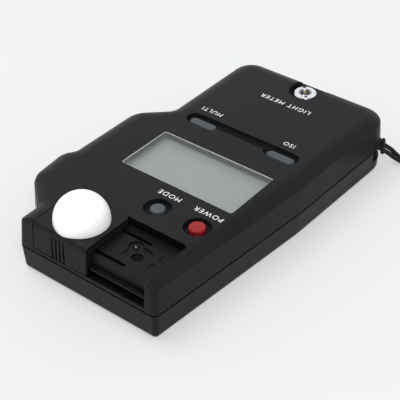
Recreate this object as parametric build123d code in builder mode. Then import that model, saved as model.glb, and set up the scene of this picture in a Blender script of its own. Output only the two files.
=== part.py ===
"""Handheld flash and ambient light meter, lying on its back.

Frame: millimetres, origin at the centre of the underside of the body's bounding box.
+X is to the user's right, +Y is towards the head with the diffuser dome,
+Z is out of the face with the display.
"""
import math
import os

from build123d import *

os.makedirs("parts", exist_ok=True)

# ---------------------------------------------------------------- driving sizes
# body heights
FACE = 19.3          # flat of the face
PARTING = 8.8        # plane where the front and back covers meet
CREASE = 17.1        # edge between the rolled-off face and the side wall
ROLL = 5.4           # width of the rolled-off border of the face
DRAFT = 4.0          # draft of the side walls, degrees
PARTING_GAP = 0.28   # each cover stops this far from the parting plane
WALL = 2.2           # side walls, measured at the parting plane
SKIN = 1.8           # face wall
FLOOR = 1.6          # underside wall
CEILING = FACE - SKIN

# outline at the parting plane: corner points and their rounding radii
OUTLINE = [
    (-29.5, 55.0, 1.8),    # head, left
    (-33.9, -5.5, 60.0),   # left side turns parallel to the axis
    (-34.4, -55.0, 8.5),   # tail, left
    (22.9, -55.0, 7.0),    # tail, right
    (22.7, -15.5, 4.0),    # waist
    (31.9, -7.0, 8.0),     # grip bulge starts
    (32.0, 20.0, 4.0),     # small step out
    (34.5, 23.2, 6.0),
    (33.1, 36.8, 6.5),     # shoulder that carries the measuring button
    (21.7, 46.6, 2.4),
    (21.4, 55.0, 1.8),     # head, right
]
HEAD_Y = 55.0
TAIL_Y = -55.0
HEAD_ROLL = 1.75     # rounding of the head's top edge

# display
LCD_X = -5.6
LCD_Y = 7.5
WINDOW_W = 41.2
WINDOW_H = 20.4
BAND_RISE = 0.25     # the band round the display stands proud by this
BAND_Y0 = -4.5
BAND_Y1 = 20.4
BAND_X1 = 21.6

# face buttons: name, x, y
MODE_AT = (-8.0, 28.1)
POWER_AT = (-22.4, 28.2)
MULTI_AT = (8.8, -13.4)
ISO_AT = (-20.7, -13.4)
WELL_R = 4.15
WELL_DEPTH = 1.7
CAP_R = 2.25
POWER_R = 2.45
OVAL_L = 9.6
OVAL_W = 3.1
KEY_TRAVEL = 0.6

# head: sensor recess and sliding dome
RECESS_X0 = -25.7
RECESS_X1 = 15.65
RECESS_Y0 = 36.0
LIP_Z = 10.0         # top of the front lip below the carriage
DECK_TOP = 16.5
DECK_BOTTOM = 15.1
DECK_FRONT = 52.3
SENSOR_X = -15.4
DOME_X = 4.8
SENSOR_Y = 45.45
TRAVEL = DOME_X - SENSOR_X
DOME_R = 8.15
DOME_CENTRE_Z = 19.9
CARRIAGE_X0 = -4.7
CARRIAGE_X1 = 15.3
CARRIAGE_Z0 = 16.8
SLOT_YS = (39.2, 50.3)
HOOK_X0 = 5.2
HOOK_X1 = 8.2

# sync terminal
SYNC_X = -5.7
SYNC_Y = -47.9
SYNC_FLOOR = 17.0
SYNC_R = 3.65
SYNC_BORE_R = 2.05
SYNC_BORE = 2.4      # depth of the socket's bore
SYNC_TOP = 18.8

# battery: one AA cell across the tail
CELL_R = 7.2
CELL_L = 50.4
CELL_Y = -35.8
CELL_Z = 9.2
DOOR_Y1 = -24.4
DOOR_Z = 3.1
DOOR_GAP = 0.25

# strap notch at the left tail corner
NOTCH_X = -28.2
NOTCH_Y = -45.2
NOTCH_Z0 = 4.5
NOTCH_Z1 = 12.2
POST_X = -30.8
POST_Y = -50.9
POST_R = 0.9

# strap: a thin braided cord
CORD_R = 0.75
COIL_X = -50.5
COIL_Y = -58.7
COIL_R = 8.25

# detent ball of the slide
DETENT_X = -12.1
DETENT_Y = 42.2

# boards
BOARD_Z0 = 10.5
BOARD_Z1 = 12.0
SCREWS = [(-27.2, 46.6), (18.4, 50.0), (-24.0, -49.6), (13.0, -49.6)]
BOARD_SCREWS = [(-6.0, -21.5), (7.0, 28.5), (22.5, 26.0)]
DECK_SCREWS = [(-15.2, 33.4), (11.5, 33.4)]


NODES = []


def finish(builder, name):
    """Label the finished piece and write its STEP file."""
    builder.part.label = name
    export_step(builder.part, f"parts/{name}.step")
    NODES.append(name)


def outline_sketch(inward=0.0):
    """The body's outline at the parting plane, moved inward by a wall thickness."""
    with BuildSketch() as sketch:
        with BuildLine():
            FilletPolyline(
                *[(x, y) for x, y, _ in OUTLINE],
                radius=[r for _, _, r in OUTLINE],
                close=True,
            )
        make_face()
        if inward:
            offset(amount=-inward, kind=Kind.INTERSECTION)
    return sketch.sketch


def block(x0, x1, y0, y1, z0, z1, mode=Mode.ADD):
    """A plain block between two corners."""
    with Locations(((x0 + x1) / 2, (y0 + y1) / 2, (z0 + z1) / 2)):
        Box(x1 - x0, y1 - y0, z1 - z0, mode=mode)


def rod(x, y, z0, z1, radius, mode=Mode.ADD):
    """An upright round rod."""
    with Locations((x, y, (z0 + z1) / 2)):
        Cylinder(radius, z1 - z0, mode=mode)


def arc_radii(points):
    """Radii that round a route as much as its straight runs allow."""
    route = [Vector(*p) for p in points]
    radii = []
    for before, corner, after in zip(route, route[1:], route[2:]):
        run_in = corner - before
        run_out = after - corner
        turn = math.radians(run_in.get_angle(run_out))
        shorter = min(run_in.length, run_out.length)
        radii.append(0.45 * shorter / math.tan(turn / 2))
    return radii


def tube(name, points, radius):
    """A round wire or cord along straight runs joined by tangent arcs."""
    radii = arc_radii(points)
    with BuildPart() as piece:
        with BuildLine():
            route = FilletPolyline(*points, radius=radii)
        length = route.length
        with BuildSketch(Plane(origin=route @ 0, z_dir=route % 0)):
            Circle(radius)
        sweep()
    wanted = math.pi * radius**2 * length
    print(name, "length", round(length, 1), "volume ratio", round(piece.part.volume / wanted, 4))
    print("  arc radii", [round(r, 1) for r in radii])
    finish(piece, name)
    return piece


# ---------------------------------------------------------------- outer forms
HEAD_LEFT = Edge.make_line(OUTLINE[1][:2], OUTLINE[0][:2])
HEAD_RIGHT = Edge.make_line(OUTLINE[9][:2], OUTLINE[10][:2])

# Front half as a full solid: drafted walls, rounded head edge, rolled-off border.
with BuildPart() as front_form:
    with BuildSketch(Plane.XY.offset(PARTING)):
        add(outline_sketch())
        with BuildLine():
            # the head's corners start square, so that their rounding is even up the wall
            Polyline(HEAD_LEFT @ 0.9, HEAD_LEFT @ 1, HEAD_RIGHT @ 1, HEAD_RIGHT @ 0.5, close=True)
        make_face()
    extrude(amount=FACE - PARTING, taper=DRAFT)
    corner_edges = [
        e
        for e in front_form.edges()
        if e.center().Y > HEAD_Y - 3.0 and PARTING + 1.0 < e.center().Z < FACE - 1.0
    ]
    fillet(corner_edges, OUTLINE[0][2])
    head_edges = [
        e
        for e in front_form.edges()
        if abs(e.center().Z - FACE) < 1e-3 and e.center().Y > HEAD_Y - 2.5
    ]
    fillet(head_edges, HEAD_ROLL)
    # border roll: an arc tangent to the face, swept along the sides and the tail
    rise = CREASE - PARTING
    inset = rise * math.tan(math.radians(DRAFT))
    drop = FACE - CREASE
    roll_radius = (ROLL**2 + drop**2) / (2 * drop)
    roll_slope = ROLL / (roll_radius - drop)
    past_head = 5.0
    left_lean = (OUTLINE[0][0] - OUTLINE[1][0]) / (OUTLINE[0][1] - OUTLINE[1][1])
    path_start = (OUTLINE[0][0] + past_head * left_lean, HEAD_Y + past_head, PARTING)
    path_end = (OUTLINE[-1][0], HEAD_Y + past_head, PARTING)
    with BuildLine() as border:
        FilletPolyline(
            path_start,
            *[(x, y, PARTING) for x, y, _ in OUTLINE[1:-1]],
            path_end,
            radius=[r for _, _, r in OUTLINE[1:-1]],
        )
    border_path = border.wires()[0]
    inward_dir = Vector(0, 0, 1).cross(border_path % 0)
    roll_plane = Plane(
        origin=border_path @ 0,
        x_dir=inward_dir,
        z_dir=inward_dir.cross(Vector(0, 0, 1)),
    )
    outside = 1.2
    above = 1.5
    with BuildSketch(roll_plane) as roll_profile:
        with BuildLine():
            crease_at = (inset, rise)
            tangent_at = (inset + ROLL, FACE - PARTING)
            RadiusArc(crease_at, tangent_at, roll_radius)
            Polyline(
                tangent_at,
                (inset + ROLL, FACE - PARTING + above),
                (inset - outside, FACE - PARTING + above),
                (inset - outside, rise - outside * roll_slope),
                crease_at,
            )
        make_face()
    sweep(roll_profile.sketch, path=border_path, mode=Mode.SUBTRACT)
    crease_edges = [
        e
        for e in front_form.edges()
        if abs(e.center().Z - CREASE) < 0.25 and e.length > 0.5
    ]
    fillet(crease_edges, 0.9)

# Back half as a full solid.
with BuildPart() as back_form:
    with BuildSketch(Plane.XY.offset(PARTING)):
        add(outline_sketch())
    extrude(amount=-PARTING, taper=DRAFT)
    fillet(back_form.faces().sort_by(Axis.Z)[0].edges(), 1.9)

# The band round the display: the same surface moved out and turned slightly, so that
# it stands proud at its tail end and runs out flush at its head end.
band_tilt = math.degrees(math.atan(BAND_RISE / (BAND_Y1 - BAND_Y0)))
raised_form = front_form.part.rotate(
    Axis((0, BAND_Y1 + 1.5, FACE), (1, 0, 0)), -band_tilt
).rotate(Axis((-33.0, BAND_Y1 + 1.5, 0), (0, 0, 1)), -band_tilt)
with BuildPart() as band:
    with BuildSketch(Plane.XY.offset(PARTING)):
        with Locations(((BAND_X1 - 45.0) / 2, (BAND_Y0 + BAND_Y1) / 2)):
            RectangleRounded(BAND_X1 + 45.0, BAND_Y1 - BAND_Y0, 4.0)
    extrude(amount=20.0)
    with BuildSketch(Plane.YZ.offset(-45.0)):
        with BuildLine():
            Polyline(
                (BAND_Y0, 30.0),
                (BAND_Y0, 12.2),
                (BAND_Y1, 13.4),
                (BAND_Y1, 30.0),
                close=True,
            )
        make_face()
    extrude(amount=90.0, mode=Mode.INTERSECT)
    lower_corner = band.edges().filter_by(Axis.X).group_by(Axis.Z)[0].sort_by(Axis.Y)[0]
    fillet(lower_corner, 2.8)
    add(raised_form, mode=Mode.INTERSECT)

# ---------------------------------------------------------------- shared regions
# The measuring button fills a slice of the shoulder; it moves along the shoulder's normal.
SHOULDER_A = Vector(OUTLINE[8][0], OUTLINE[8][1])
SHOULDER_B = Vector(OUTLINE[9][0], OUTLINE[9][1])
SHOULDER_MID = (SHOULDER_A + SHOULDER_B) * 0.5
SHOULDER_DIR = (SHOULDER_B - SHOULDER_A).normalized()
SHOULDER_OUT = Vector(-SHOULDER_DIR.Y, SHOULDER_DIR.X) * -1.0
SHOULDER_TURN = math.degrees(math.atan2(SHOULDER_DIR.Y, SHOULDER_DIR.X))
PRESS_S0 = -9.6      # extent along the shoulder, from its middle
PRESS_S1 = 5.4
PRESS_TOP = 16.0
PRESS_TRAVEL = 1.0


def shoulder_block(s0, s1, depth0, depth1, z0, z1, mode=Mode.ADD):
    """A block lined up with the shoulder; depth counts inward from its face."""
    centre = SHOULDER_MID + SHOULDER_DIR * ((s0 + s1) / 2) - SHOULDER_OUT * ((depth0 + depth1) / 2)
    with Locations(Location((centre.X, centre.Y, (z0 + z1) / 2), (0, 0, SHOULDER_TURN))):
        Box(s1 - s0, depth1 - depth0, z1 - z0, mode=mode)


SIDE_KEYS = {"set_button_down": 2.0, "set_button_up": 12.4}   # name: y of its middle
SIDE_HALF = 4.2
SIDE_TOP = 14.3
SIDE_PROUD = 0.35
CAVITY = WALL + 0.3      # inner pieces stay inside this offset of the outline

# ---------------------------------------------------------------- front cover
with BuildPart() as cover_ribs:
    # walls at the sides and the rear of the head recess
    block(RECESS_X0 - 1.5, RECESS_X0, RECESS_Y0 - 1.2, HEAD_Y, PARTING, CEILING + 0.2)
    block(RECESS_X1, RECESS_X1 + 1.2, RECESS_Y0 - 1.2, HEAD_Y, PARTING, CEILING + 0.2)
    block(RECESS_X0, RECESS_X1, RECESS_Y0 - 1.2, RECESS_Y0 + 0.5, DECK_TOP, CEILING + 0.2)
    # thick pads under the wells
    block(-28.6, 17.4, -17.6, -9.8, CEILING - 1.2, CEILING + 0.2)
    rod(*MODE_AT, CEILING - 1.2, CEILING + 0.2, 5.2)
    rod(*POWER_AT, CEILING - 1.2, CEILING + 0.2, 5.2)
    block(SYNC_X - 6.4, SYNC_X + 6.4, SYNC_Y - 6.5, SYNC_Y + 4.8, 14.6, CEILING + 0.2)
    block(-34.0, NOTCH_X + 1.9, -54.0, NOTCH_Y + 1.6, PARTING, NOTCH_Z1 + 1.5)
    for x, y in SCREWS:
        rod(x, y, PARTING, CEILING + 0.2, 2.2)
    for x, y in BOARD_SCREWS:
        rod(x, y, BOARD_Z1, CEILING + 0.2, 2.0)
    for x, y in DECK_SCREWS:
        rod(x, y, DECK_TOP, CEILING + 0.2, 2.0)
    add(front_form.part, mode=Mode.INTERSECT)

with BuildPart() as front_cover:
    add(front_form.part)
    add(band.part)
    with BuildSketch(Plane.XY.offset(PARTING - 1.0)):
        add(outline_sketch(WALL))
    extrude(amount=CEILING - PARTING + 1.0, mode=Mode.SUBTRACT)
    add(cover_ribs.part)
    # recess of the head, open to the front; rounded rear corners above the deck
    block(RECESS_X0, RECESS_X1, RECESS_Y0, 62, LIP_Z, DECK_TOP + 0.03, mode=Mode.SUBTRACT)
    with BuildSketch(Plane.XY.offset(DECK_TOP)):
        with Locations(((RECESS_X0 + RECESS_X1) / 2, RECESS_Y0 + 12.0)):
            RectangleRounded(RECESS_X1 - RECESS_X0, 24.0, 1.3)
        with Locations(((RECESS_X0 + RECESS_X1) / 2, RECESS_Y0 + 16.0)):
            Rectangle(RECESS_X1 - RECESS_X0, 24.0)
    extrude(amount=8.0, mode=Mode.SUBTRACT)
    # display opening
    with BuildSketch(Plane.XY.offset(CEILING - 1.0)):
        with Locations((LCD_X, LCD_Y)):
            RectangleRounded(WINDOW_W, WINDOW_H, 0.9)
    extrude(amount=6.0, mode=Mode.SUBTRACT)
    # round wells with a stepped hole for the cap
    for (x, y), cap in ((MODE_AT, CAP_R), (POWER_AT, POWER_R)):
        rod(x, y, FACE - WELL_DEPTH, FACE + 2, WELL_R, mode=Mode.SUBTRACT)
        rod(x, y, CEILING - 2, FACE, cap + 0.2, mode=Mode.SUBTRACT)
    # long groove: two deep end wells and a shallower ramp between them
    with BuildSketch(Plane.XY.offset(FACE - 1.5)):
        with Locations((MULTI_AT[0] + 0.3, MULTI_AT[1] - 0.6), (ISO_AT[0] + 0.3, ISO_AT[1] - 0.6)):
            SlotOverall(12.2, 5.7)
    extrude(amount=4.0, mode=Mode.SUBTRACT)
    groove_y = MULTI_AT[1] - 0.6 - 5.7 / 2
    with BuildSketch(Plane.YZ.offset(ISO_AT[0] + 2.0)):
        with BuildLine():
            Polyline(
                (groove_y, FACE + 1.0),
                (groove_y, FACE - 1.3),
                (groove_y + 1.6, FACE - 1.2),
                (groove_y + 3.9, FACE),
                (groove_y + 3.9, FACE + 1.0),
                close=True,
            )
        make_face()
    extrude(amount=MULTI_AT[0] - ISO_AT[0] - 4.0, mode=Mode.SUBTRACT)
    with BuildSketch(Plane.XY.offset(CEILING - 2.0)):
        with Locations(MULTI_AT, ISO_AT):
            SlotOverall(OVAL_L + 0.4, OVAL_W + 0.4)
    extrude(amount=6.0, mode=Mode.SUBTRACT)
    # sync terminal recess, open to the tail
    with BuildSketch(Plane.XY.offset(SYNC_FLOOR)):
        with Locations((SYNC_X, SYNC_Y)):
            Circle(5.3)
        with Locations((SYNC_X, SYNC_Y - 6.0)):
            Rectangle(10.6, 12.0)
    extrude(amount=6.0, mode=Mode.SUBTRACT)
    rod(SYNC_X, SYNC_Y, 12.0, FACE, 3.05, mode=Mode.SUBTRACT)
    # screw holes
    for x, y in SCREWS:
        rod(x, y, PARTING - 1, 15.4, 0.85, mode=Mode.SUBTRACT)
    for x, y in BOARD_SCREWS:
        rod(x, y, BOARD_Z1 - 1, 16.0, 0.8, mode=Mode.SUBTRACT)
    for x, y in DECK_SCREWS:
        rod(x, y, DECK_TOP - 1, CEILING + 0.8, 0.8, mode=Mode.SUBTRACT)
    # strap notch and the seat of its post
    block(-40.0, NOTCH_X, -60.0, NOTCH_Y, PARTING - 1, NOTCH_Z1, mode=Mode.SUBTRACT)
    rod(POST_X, POST_Y, NOTCH_Z1 - 0.5, NOTCH_Z1 + 1.1, POST_R + 0.02, mode=Mode.SUBTRACT)
    # openings for the side keys and the measuring button, closed below by the back cover
    for y in SIDE_KEYS.values():
        block(28.0, 36.0, y - SIDE_HALF, y + SIDE_HALF, PARTING - 1, SIDE_TOP, mode=Mode.SUBTRACT)
    shoulder_block(PRESS_S0, PRESS_S1, -6.0, 5.5, PARTING - 1, PRESS_TOP, mode=Mode.SUBTRACT)
    # thin nick where a tool opens the case, and the gap at the parting plane
    block(-36.0, -33.6, -29.0, -28.0, PARTING - 1, PARTING + 0.45, mode=Mode.SUBTRACT)
    block(-60, 60, -80, 80, PARTING - 2, PARTING + PARTING_GAP, mode=Mode.SUBTRACT)
finish(front_cover, "front_cover")

# ---------------------------------------------------------------- back cover
# floor above the battery door, with a window for the cell
with BuildPart() as bay_floor:
    with BuildSketch(Plane.XY.offset(DOOR_Z + DOOR_GAP)):
        add(outline_sketch(WALL - 0.3))
    extrude(amount=1.2)
    with BuildSketch(Plane.XY.offset(2.9)):
        add(outline_sketch(WALL + 0.35))
    extrude(amount=0.5)
    block(-60, 60, -80, DOOR_Y1 - 1.8, 0, 10, mode=Mode.INTERSECT)

with BuildPart() as back_ribs:
    block(-33, 21.5, CELL_Y + 7.6, CELL_Y + 8.8, 3.4, 8.4)
    block(-33, 21.5, CELL_Y - 8.8, CELL_Y - 7.6, 3.4, 8.4)
    block(-34.0, NOTCH_X + 1.9, -54.0, NOTCH_Y + 1.6, 3.4, PARTING)
    for x, y in SCREWS[:2]:
        rod(x, y, 0.2, PARTING, 2.6)
    for x, y in SCREWS[2:]:
        rod(x, y, 2.9, PARTING, 2.6)
    add(back_form.part, mode=Mode.INTERSECT)

# tongues that stand above the rim and locate the front cover
with BuildPart() as tongues:
    with BuildSketch(Plane.XY.offset(PARTING - 0.8)):
        add(outline_sketch(WALL + 0.12))
        add(outline_sketch(WALL + 0.9), mode=Mode.SUBTRACT)
    extrude(amount=2.1)
    block(12, 27, -27, -18, 0, 20, mode=Mode.SUBTRACT)
    block(-20, 60, -80, 80, 0, 20, mode=Mode.SUBTRACT)
    block(-60, -20, -80, -26, 0, 20, mode=Mode.SUBTRACT)
    block(-60, -20, 33, 80, 0, 20, mode=Mode.SUBTRACT)

with BuildPart() as back_cover:
    add(back_form.part)
    with BuildSketch(Plane.XY.offset(FLOOR)):
        add(outline_sketch(WALL))
    extrude(amount=PARTING, mode=Mode.SUBTRACT)
    # the battery bay's underside is open for the door
    block(-60, 60, -80, DOOR_Y1, -1, DOOR_Z + DOOR_GAP, mode=Mode.SUBTRACT)
    add(bay_floor.part)
    add(back_ribs.part)
    # thickened rim below the parting plane
    with BuildSketch(Plane.XY.offset(6.4)):
        add(outline_sketch(WALL - 0.3))
        add(outline_sketch(WALL + 0.9), mode=Mode.SUBTRACT)
    extrude(amount=PARTING - 6.4)
    # room for the cell and its contacts
    block(-32.0, 20.6, CELL_Y - 7.5, CELL_Y + 7.5, 1.0, 12.0, mode=Mode.SUBTRACT)
    for x, y in SCREWS[:2]:
        rod(x, y, -1, 2.0, 1.75, mode=Mode.SUBTRACT)
    for x, y in SCREWS[2:]:
        rod(x, y, 1.0, 4.9, 1.75, mode=Mode.SUBTRACT)
    for x, y in SCREWS:
        rod(x, y, -1, 12, 0.95, mode=Mode.SUBTRACT)
    block(-40.0, NOTCH_X, -60.0, NOTCH_Y, NOTCH_Z0, 20.0, mode=Mode.SUBTRACT)
    rod(POST_X, POST_Y, NOTCH_Z0 - 0.9, NOTCH_Z0 + 1.0, POST_R + 0.02, mode=Mode.SUBTRACT)
    block(-60, 60, -80, 80, PARTING - PARTING_GAP, PARTING + 5, mode=Mode.SUBTRACT)
    add(tongues.part)
finish(back_cover, "back_cover")

# ---------------------------------------------------------------- battery door
with BuildPart() as battery_door:
    add(back_form.part)
    block(-60, 60, -80, DOOR_Y1 - DOOR_GAP, -1, DOOR_Z, mode=Mode.INTERSECT)
    with BuildSketch(Plane.XY.offset(FLOOR)):
        add(outline_sketch(WALL))
    extrude(amount=5.0, mode=Mode.SUBTRACT)
    # two tongues that slide under the back cover's floor edge
    for x in (-20.0, 8.0):
        block(x - 3.0, x + 3.0, DOOR_Y1 - 2.2, DOOR_Y1 - DOOR_GAP, FLOOR - 0.3, 2.5)
        block(x - 3.0, x + 3.0, DOOR_Y1 - 2.2, DOOR_Y1 + 2.2, FLOOR + 0.12, 2.5)
    # finger ridges on the underside
    for step in range(5):
        y = DOOR_Y1 - 6.0 - 2.0 * step
        block(-13.0, 1.5, y - 0.4, y + 0.4, -1.0, 0.45, mode=Mode.SUBTRACT)
finish(battery_door, "battery_door")

# ---------------------------------------------------------------- display
with BuildPart() as lcd_window:
    with BuildSketch(Plane.XY.offset(16.9)):
        with Locations((LCD_X, LCD_Y)):
            Rectangle(43.5, 22.7)
    extrude(amount=CEILING - 16.9)
    with BuildSketch(Plane.XY.offset(CEILING)):
        with Locations((LCD_X, LCD_Y)):
            RectangleRounded(WINDOW_W - 0.2, WINDOW_H - 0.2, 0.85)
    extrude(amount=FACE - 0.05 - CEILING)
    chamfer(lcd_window.edges().group_by(Axis.Z)[-1], 0.25)
finish(lcd_window, "lcd_window")

with BuildPart() as lcd_panel:
    block(LCD_X - 22.2, LCD_X + 22.2, LCD_Y - 11.9, LCD_Y + 11.9, 14.6, 15.6)
    block(LCD_X - 22.2, LCD_X + 22.2, LCD_Y - 11.0, LCD_Y + 11.0, 15.6, 16.7)
finish(lcd_panel, "lcd_panel")

with BuildPart() as lcd_holder:
    block(LCD_X - 23.25, LCD_X + 23.25, LCD_Y - 13.0, LCD_Y + 13.0, BOARD_Z1, 16.9)
    block(LCD_X - 22.35, LCD_X + 22.35, LCD_Y - 12.1, LCD_Y + 12.1, 14.6, 18.0, mode=Mode.SUBTRACT)
    block(LCD_X - 20.5, LCD_X + 20.5, LCD_Y - 9.2, LCD_Y + 9.2, 11.0, 15.0, mode=Mode.SUBTRACT)
    for side in (-1, 1):
        middle = LCD_Y + side * 11.3
        block(LCD_X - 21.0, LCD_X + 21.0, middle - 0.75, middle + 0.75, 11.0, 15.0, mode=Mode.SUBTRACT)
finish(lcd_holder, "lcd_holder")

for name, side in (("zebra_strip_tail", -1), ("zebra_strip_head", 1)):
    with BuildPart() as zebra:
        middle = LCD_Y + side * 11.3
        block(LCD_X - 20.9, LCD_X + 20.9, middle - 0.7, middle + 0.7, BOARD_Z1, 14.6)
    finish(zebra, name)

# ---------------------------------------------------------------- boards
with BuildPart() as main_board:
    with BuildSketch(Plane.XY.offset(BOARD_Z0)):
        with BuildLine():
            Polyline(
                (-28.4, -26.5),
                (19.6, -26.5),
                (19.6, -3.4),
                (23.2, -3.4),
                (23.2, 18.5),
                (25.5, 18.5),
                (25.5, 35.5),
                (22.5, 38.0),
                (17.0, 38.0),
                (17.0, 33.0),
                (-28.4, 33.0),
                close=True,
            )
        make_face()
        with Locations(*BOARD_SCREWS):
            Circle(0.9, mode=Mode.SUBTRACT)
    extrude(amount=BOARD_Z1 - BOARD_Z0)
finish(main_board, "main_board")

with BuildPart() as processor:
    block(-15.0, -1.0, 1.0, 15.0, 8.9, BOARD_Z0)
    chamfer(processor.edges().filter_by(Axis.Z), 0.6)
finish(processor, "processor")

with BuildPart() as amplifier:
    block(-24.0, -16.0, 20.0, 26.0, 9.1, BOARD_Z0)
finish(amplifier, "amplifier")

with BuildPart() as power_capacitor:
    with Locations(Location((10.0, 14.0, 7.3), (90, 0, 0))):
        Cylinder(3.2, 10.0)
    fillet(power_capacitor.edges().filter_by(GeomType.CIRCLE), 0.4)
finish(power_capacitor, "power_capacitor")

FACE_SWITCHES = {
    "mode_switch": MODE_AT,
    "power_switch": POWER_AT,
    "multi_switch": MULTI_AT,
    "iso_switch": ISO_AT,
}
for name, (x, y) in FACE_SWITCHES.items():
    with BuildPart() as face_switch:
        block(x - 3.0, x + 3.0, y - 3.0, y + 3.0, BOARD_Z1, 13.4)
        chamfer(face_switch.edges().filter_by(Axis.Z), 0.5)
        rod(x, y, 12.7, 14.0, 1.5, mode=Mode.SUBTRACT)
    finish(face_switch, name)

with BuildPart() as side_board:
    block(23.2, 24.2, -2.8, 17.2, 8.9, 15.0)
finish(side_board, "side_board")

# ---------------------------------------------------------------- face buttons
for name, (x, y), cap, top in (
    ("mode_button", MODE_AT, CAP_R, 19.2),
    ("power_button", POWER_AT, POWER_R, 19.65),
):
    with BuildPart() as round_button:
        rod(x, y, 16.0, top, cap)
        fillet(round_button.edges().group_by(Axis.Z)[-1], 0.55)
        rod(x, y, 15.3, 16.2, 3.4)
        rod(x, y, 13.45, 15.3, 1.2)
    finish(round_button, name)

for name, (x, y) in (("multi_button", MULTI_AT), ("iso_button", ISO_AT)):
    with BuildPart() as oval_button:
        with BuildSketch(Plane.XY.offset(16.0)):
            with Locations((x, y)):
                SlotOverall(OVAL_L, OVAL_W)
        extrude(amount=2.95)
        fillet(oval_button.edges().group_by(Axis.Z)[-1], 0.5)
        with BuildSketch(Plane.XY.offset(15.3)):
            with Locations((x, y)):
                SlotOverall(11.4, 5.0)
        extrude(amount=0.9)
        rod(x, y, 13.45, 15.3, 1.2)
    finish(oval_button, name)

# ---------------------------------------------------------------- side keys
for (name, y), switch_name in zip(SIDE_KEYS.items(), ("down_switch", "up_switch")):
    with BuildPart() as side_key:
        add(front_form.part)
        block(27, 40, y - SIDE_HALF + 0.1, y + SIDE_HALF - 0.1, 8.9, SIDE_TOP - 0.1, mode=Mode.INTERSECT)
        block(0, 29.0 - SIDE_PROUD, -60, 60, 0, 30, mode=Mode.SUBTRACT)
    with BuildPart() as side_key_whole:
        with Locations((SIDE_PROUD, 0, 0)):
            add(side_key.part)
        block(28.3, 29.4, y - SIDE_HALF - 0.8, y + SIDE_HALF + 0.8, 8.95, SIDE_TOP + 0.8)
        with Locations(Location((27.45, y, 11.5), (0, 90, 0))):
            Cylinder(1.0, 1.9)
    finish(side_key_whole, name)
    with BuildPart() as side_switch:
        block(24.2, 27.2, y - 3.0, y + 3.0, 8.9, 14.6)
        with Locations(Location((26.5, y, 11.5), (0, 90, 0))):
            Cylinder(1.3, 1.8, mode=Mode.SUBTRACT)
    finish(side_switch, switch_name)

# ---------------------------------------------------------------- measuring button
with BuildPart() as press_slice:
    add(front_form.part)
    shoulder_block(PRESS_S0 + 0.1, PRESS_S1 - 0.1, -6.0, 3.95, 8.95, PRESS_TOP - 0.1, mode=Mode.INTERSECT)

with BuildPart() as press_flange:
    shoulder_block(PRESS_S0 - 1.0, PRESS_S1 + 0.9, 3.5, 4.4, 8.95, PRESS_TOP + 0.9)
    with BuildSketch(Plane.XY):
        add(outline_sketch(CAVITY))
    extrude(amount=30.0, mode=Mode.INTERSECT)

with BuildPart() as measuring_button:
    with Locations((SHOULDER_OUT.X * 0.35, SHOULDER_OUT.Y * 0.35, 0)):
        add(press_slice.part)
    add(press_flange.part)
    shoulder_block(-1.2, 1.2, 4.3, 6.2, 12.3, 14.7)
finish(measuring_button, "measuring_button")

with BuildPart() as measuring_switch:
    shoulder_block(-3.0, 3.0, 6.4, 9.6, 12.0, 15.6)
    shoulder_block(-1.4, 1.4, 6.0, 7.6, 12.2, 14.8, mode=Mode.SUBTRACT)
finish(measuring_switch, "measuring_switch")

# ---------------------------------------------------------------- sensor deck
with BuildPart() as sensor_deck:
    with BuildSketch(Plane.YZ.offset(RECESS_X0 + 0.1)):
        with BuildLine():
            Polyline(
                (34.95, DECK_BOTTOM),
                (34.95, DECK_TOP),
                (DECK_FRONT, DECK_TOP),
                (DECK_FRONT, 13.3),
                (51.8, 13.3),
                (51.8, 12.75),
                (53.7, 12.75),
                (53.7, 12.1),
                (51.8, 12.1),
                (51.8, 9.2),
                (51.0, 9.2),
                (51.0, DECK_BOTTOM),
                close=True,
            )
        make_face()
    extrude(amount=RECESS_X1 - RECESS_X0 - 0.2)
    # ears that screw up to the front cover
    for x, y in DECK_SCREWS:
        block(x - 2.1, x + 2.1, y - 2.0, 36.0, DECK_BOTTOM, DECK_TOP)
        rod(x, y, 15, 17, 0.9, mode=Mode.SUBTRACT)
    # posts that carry the sensor board
    rod(-19.0, 42.3, 12.4, DECK_BOTTOM + 0.2, 0.9)
    rod(-11.5, 47.9, 12.4, DECK_BOTTOM + 0.2, 0.9)
    # guide slots for the carriage hooks
    for y in SLOT_YS:
        block(-15.3, 8.5, y - 0.6, y + 0.6, 14, 18, mode=Mode.SUBTRACT)
    # sensor hole with a seat for its window, in a disc-shaped hollow that fades to the front
    rod(SENSOR_X, SENSOR_Y, 14, 18, 1.75, mode=Mode.SUBTRACT)
    rod(SENSOR_X, SENSOR_Y, 14, 15.9, 2.6, mode=Mode.SUBTRACT)
    with Locations(Location((SENSOR_X, SENSOR_Y, DECK_TOP + 0.73), (3.0, 0, 0))):
        Cylinder(4.35, 2.0, mode=Mode.SUBTRACT)
    # pocket of the detent ball
    rod(DETENT_X, DETENT_Y, DECK_TOP - 0.6, 18, 2.2, mode=Mode.SUBTRACT)
    rod(DETENT_X, DETENT_Y, 14, 18, 0.95, mode=Mode.SUBTRACT)
    # two engraved index marks
    for x, y in ((-21.3, 42.2), (-21.0, 46.2)):
        block(x - 0.45, x + 0.45, y - 1.2, y + 1.2, DECK_TOP - 0.2, 18, mode=Mode.SUBTRACT)
finish(sensor_deck, "sensor_deck")

with BuildPart() as sensor_window:
    rod(SENSOR_X, SENSOR_Y, DECK_BOTTOM, 15.9, 2.5)
finish(sensor_window, "sensor_window")

with BuildPart() as sensor_board:
    block(-20.4, -10.2, 41.3, 49.0, 11.2, 12.4)
finish(sensor_board, "sensor_board")

with BuildPart() as photodiode:
    block(SENSOR_X - 2.5, SENSOR_X + 2.5, SENSOR_Y - 2.0, SENSOR_Y + 2.0, 12.4, 13.9)
    chamfer(photodiode.edges().group_by(Axis.Z)[-1], 0.3)
finish(photodiode, "photodiode")

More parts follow.
